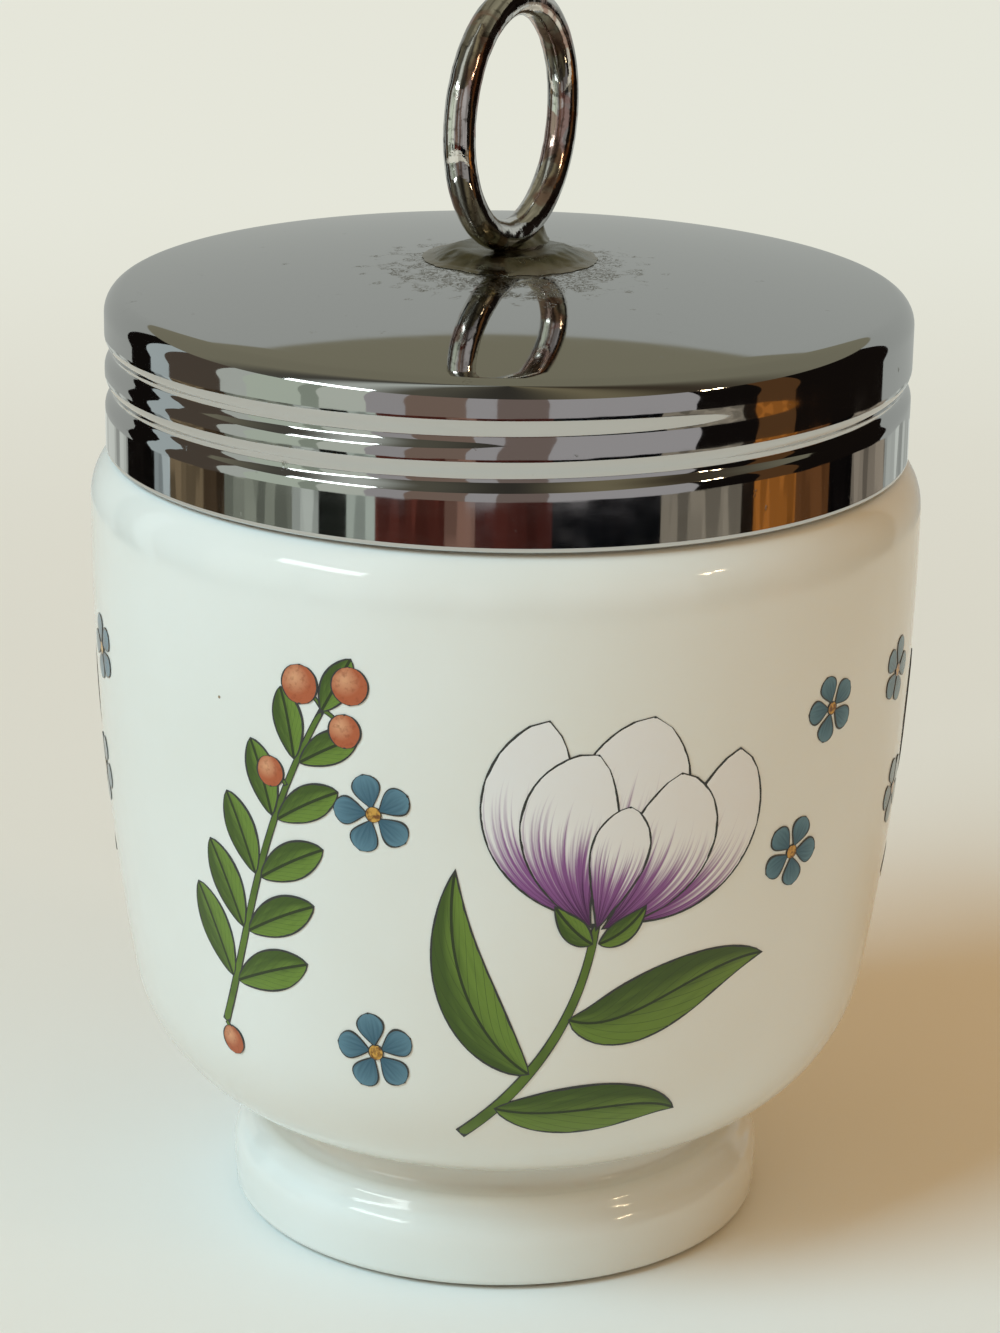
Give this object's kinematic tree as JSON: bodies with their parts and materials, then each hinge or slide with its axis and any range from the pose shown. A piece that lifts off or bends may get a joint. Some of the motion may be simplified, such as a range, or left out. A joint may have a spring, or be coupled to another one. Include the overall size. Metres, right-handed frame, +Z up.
{
  "type": "egg coddler",
  "caption": "Footed porcelain cup with a rounded shoulder, closed by a domed metal screw lid with a rolled thread and an upright lifting ring, for cooking an egg in hot water.",
  "frame": {"origin": "centre of the face that the foot rests on", "axes": "+Z up the axis of cup and lid; the lifting ring lies in the YZ plane, so its hole runs along X; the picture was taken from the -Y side, 26 degrees towards +X"},
  "size_m": [0.063, 0.063, 0.096],
  "materials": {
    "porcelain": "clear gloss glaze over white porcelain, with fired print colours",
    "lid_metal": "bright plated pressed sheet, lightly worn",
    "ring_metal": "bright plated wire",
    "braze": "plated fillet of braze, tarnished",
    "rivet_metal": "satin plated rivet"
  },
  "bodies": {
    "cup": {"cup": "porcelain"},
    "lid_carrier": {"lid_rivet": "rivet_metal"},
    "lid": {"lid_shell": "lid_metal", "ring_pad": "lid_metal", "lifting_ring": "ring_metal", "ring_braze": "braze"}
  },
  "joints": [
    {"name": "lid_rise", "type": "slide", "parent": "cup", "child": "lid_carrier", "axis": [0, 0, 1], "range_m": [0, 0.015]},
    {"name": "lid_turn", "type": "hinge", "parent": "lid_carrier", "child": "lid", "pos_m": [0, 0, 0.07], "axis": [0, 0, 1], "range_deg": [0, 1800]}
  ],
  "couplings": [
    {"joint": "lid_rise", "follows": "lid_turn", "m_per_rad": 0.00047746}
  ]
}
